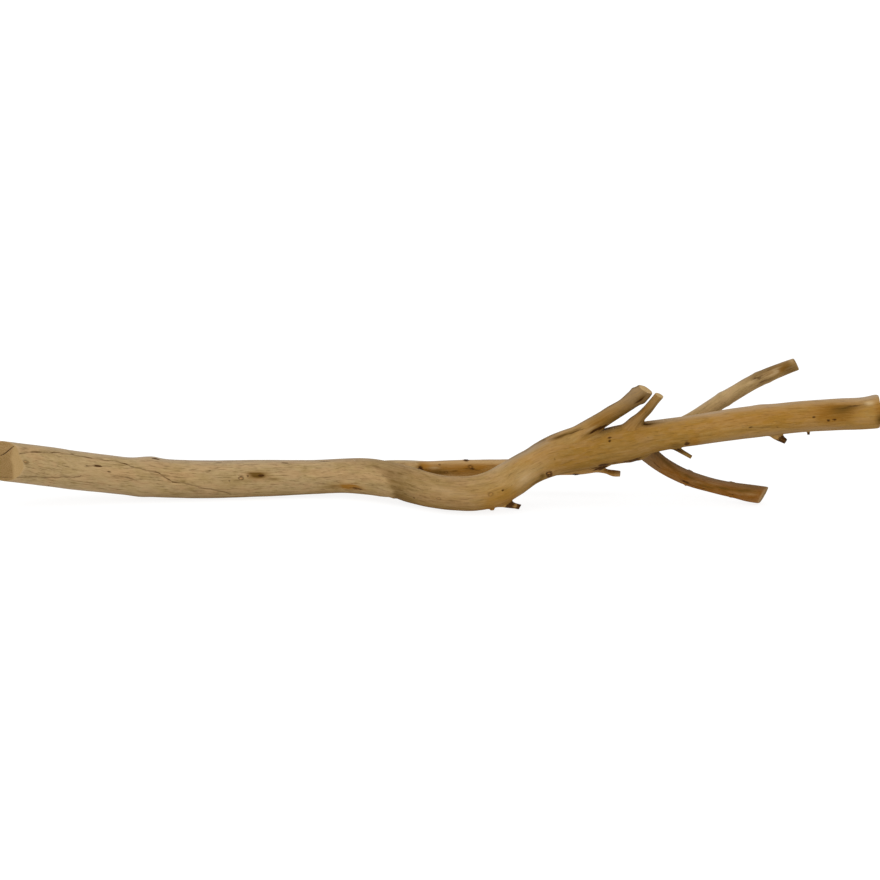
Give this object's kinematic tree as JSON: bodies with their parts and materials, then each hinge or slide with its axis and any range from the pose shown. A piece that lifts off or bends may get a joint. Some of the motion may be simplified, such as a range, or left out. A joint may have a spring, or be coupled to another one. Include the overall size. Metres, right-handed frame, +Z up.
{
  "type": "fallen tree branch",
  "caption": "Long bare branch lying on its side, with a sawn butt, a rear fork that climbs away, a low side branch and sawn stubs.",
  "frame": {"origin": "under the middle of the branch's box, on the ground it lies on", "axes": "+X along the branch from the thick sawn butt to the thin end, +Y to the rear, +Z up"},
  "size_m": [1.2103, 0.1257, 0.1931],
  "materials": {
    "limb_wood": "bare weathered wood",
    "rear_wood": "bare weathered wood, browner",
    "low_wood": "bare weathered wood, dark orange brown",
    "stub_wood": "bare weathered wood"
  },
  "bodies": {
    "root": {"main_limb": "limb_wood", "rear_limb": "rear_wood", "lower_branch": "low_wood", "upper_stub": "stub_wood"}
  },
  "joints": []
}
